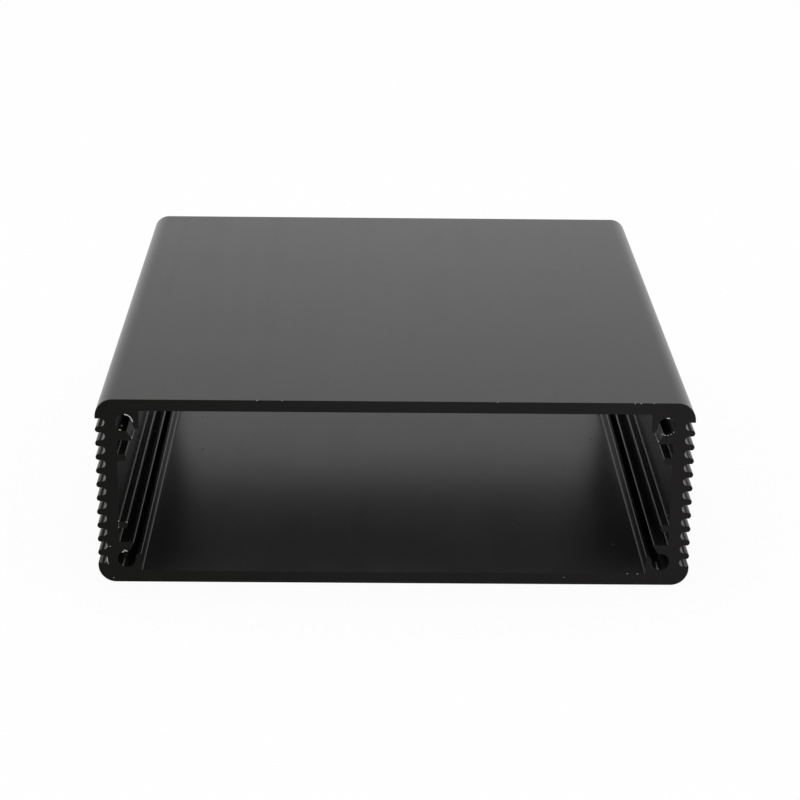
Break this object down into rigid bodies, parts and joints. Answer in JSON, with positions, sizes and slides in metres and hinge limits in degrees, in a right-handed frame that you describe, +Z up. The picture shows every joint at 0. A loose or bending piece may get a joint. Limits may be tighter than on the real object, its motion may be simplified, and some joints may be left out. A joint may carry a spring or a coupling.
{
  "type": "extruded aluminium enclosure",
  "caption": "Black anodised one-piece aluminium enclosure tube, open at both ends, with finned sides, corner screw channels and circuit board slots.",
  "frame": {"origin": "middle of the underside", "axes": "+X across the width, +Y along the extrusion from the front end to the rear end, +Z up through the top face"},
  "size_m": [0.08, 0.1, 0.026],
  "materials": {
    "black_anodised": "satin black anodised, sawn ends"
  },
  "bodies": {
    "root": {"enclosure_body": "black_anodised"}
  },
  "joints": []
}
